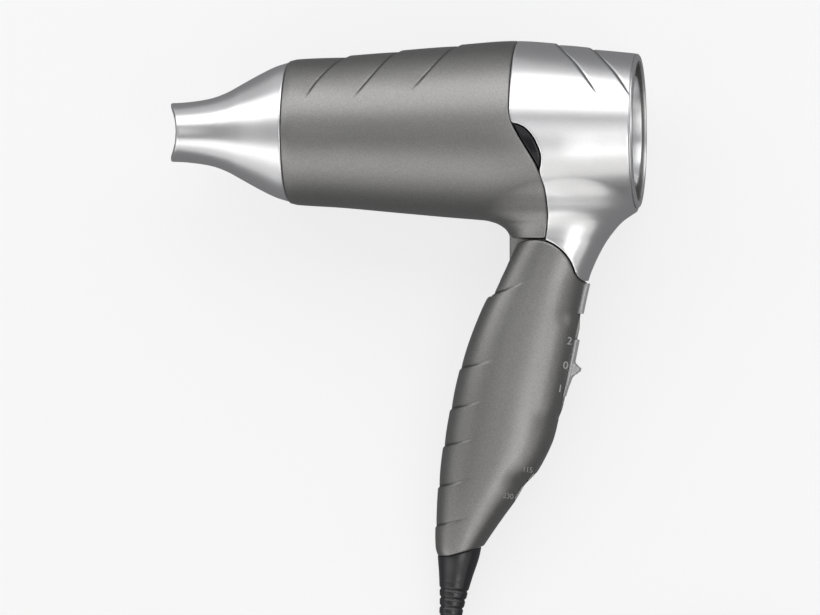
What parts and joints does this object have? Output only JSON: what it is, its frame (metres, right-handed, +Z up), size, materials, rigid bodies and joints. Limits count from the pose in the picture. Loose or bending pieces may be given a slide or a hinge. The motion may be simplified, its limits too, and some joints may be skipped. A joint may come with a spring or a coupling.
{
  "type": "travel hair dryer",
  "caption": "Folding travel hair dryer with a scooped concentrator nozzle, two-tone barrel, slide switch, voltage selector and a coiled cord with its plug.",
  "frame": {"origin": "on the floor under the middle of the dryer as it lies on its right side, without its free cord", "axes": "+X along the barrel towards the air intake, +Y across the floor from the cord end of the handle to the barrel, +Z up, out of the dryer's left side"},
  "size_m": [0.2386, 0.3646, 0.0738],
  "materials": {
    "dark_paint": "dark grey metallic paint with a fine sparkle",
    "silver_paint": "satin silver metallic paint",
    "black_gloss": "glossy black moulding",
    "grey_plastic": "satin silver-grey moulding",
    "black_plastic": "fine-grained black moulding",
    "black_rubber": "smooth black cord rubber",
    "steel": "plain bright steel",
    "mica": "pressed mica sheet",
    "heating_wire": "nichrome wire",
    "circuit_board": "phenolic circuit board",
    "brass": "plain brass",
    "red_button": "moulded red"
  },
  "bodies": {
    "handle": {"handle_left": "dark_paint", "handle_right": "dark_paint", "switch_bezel": "grey_plastic", "switch_body": "black_plastic", "voltage_switch_body": "black_plastic", "handle_screw_1": "steel", "handle_screw_2": "steel", "handle_screw_3": "steel", "cord_clamp": "black_plastic", "clamp_screw_1": "steel", "clamp_screw_2": "steel", "strain_relief": "black_rubber", "cord_lead": "black_rubber", "cord_tail": "black_rubber", "cord_coil": "black_rubber", "cord_tie": "black_plastic", "plug_shell": "black_plastic", "plug_cover": "black_plastic", "plug_relief": "black_rubber", "plug_blade_left": "brass", "plug_blade_right": "brass"},
    "barrel": {"front_housing": "dark_paint", "rear_housing": "silver_paint", "inlay_left": "black_gloss", "inlay_right": "black_gloss", "intake_ring": "silver_paint", "intake_grille": "black_plastic", "lint_filter": "steel", "outlet_grille": "black_plastic", "mica_sleeve": "mica", "mica_board_upright": "mica", "mica_board_level": "mica", "heater_coil_high": "heating_wire", "heater_coil_low": "heating_wire", "thermostat": "steel", "thermal_fuse": "steel", "motor_mount": "black_plastic", "motor_can": "steel", "motor_end_cap": "black_plastic", "rectifier_board": "circuit_board", "diode_1": "black_plastic", "diode_2": "black_plastic", "diode_3": "black_plastic", "diode_4": "black_plastic", "hinge_pin": "steel", "hinge_washer_left": "steel", "hinge_washer_right": "steel"},
    "nozzle": {"nozzle": "silver_paint"},
    "fan": {"fan": "black_plastic", "motor_shaft": "steel"},
    "switch": {"switch_slider": "grey_plastic"},
    "selector": {"voltage_slider": "black_gloss"},
    "test_button": {"test_button": "black_gloss"},
    "reset_button": {"reset_button": "red_button"}
  },
  "joints": [
    {"name": "barrel_fold", "type": "hinge", "parent": "handle", "child": "barrel", "pos_m": [0.0544, 0.02227, 0.02789], "axis": [0, -0.1469, 0.9891], "range_deg": [0, 72]},
    {"name": "nozzle_turn", "type": "hinge", "parent": "barrel", "child": "nozzle", "pos_m": [-0.0473, 0.083, 0.03692], "axis": [1, 0, 0], "continuous": true},
    {"name": "fan_spin", "type": "hinge", "parent": "barrel", "child": "fan", "pos_m": [0.0668, 0.083, 0.03692], "axis": [1, 0, 0], "continuous": true},
    {"name": "switch_slide", "type": "slide", "parent": "handle", "child": "switch", "axis": [0.195, 0.9702, 0.1441], "range_m": [-0.009, 0.009]},
    {"name": "voltage_slide", "type": "slide", "parent": "handle", "child": "selector", "axis": [0.585, 0.8022, 0.1192], "range_m": [-0.005, 0]},
    {"name": "test_press", "type": "slide", "parent": "handle", "child": "test_button", "axis": [0, 0, -1], "range_m": [0, 0.0012], "stiffness_N_per_m": 400},
    {"name": "reset_press", "type": "slide", "parent": "handle", "child": "reset_button", "axis": [0, 0, -1], "range_m": [0, 0.0012], "stiffness_N_per_m": 400}
  ]
}
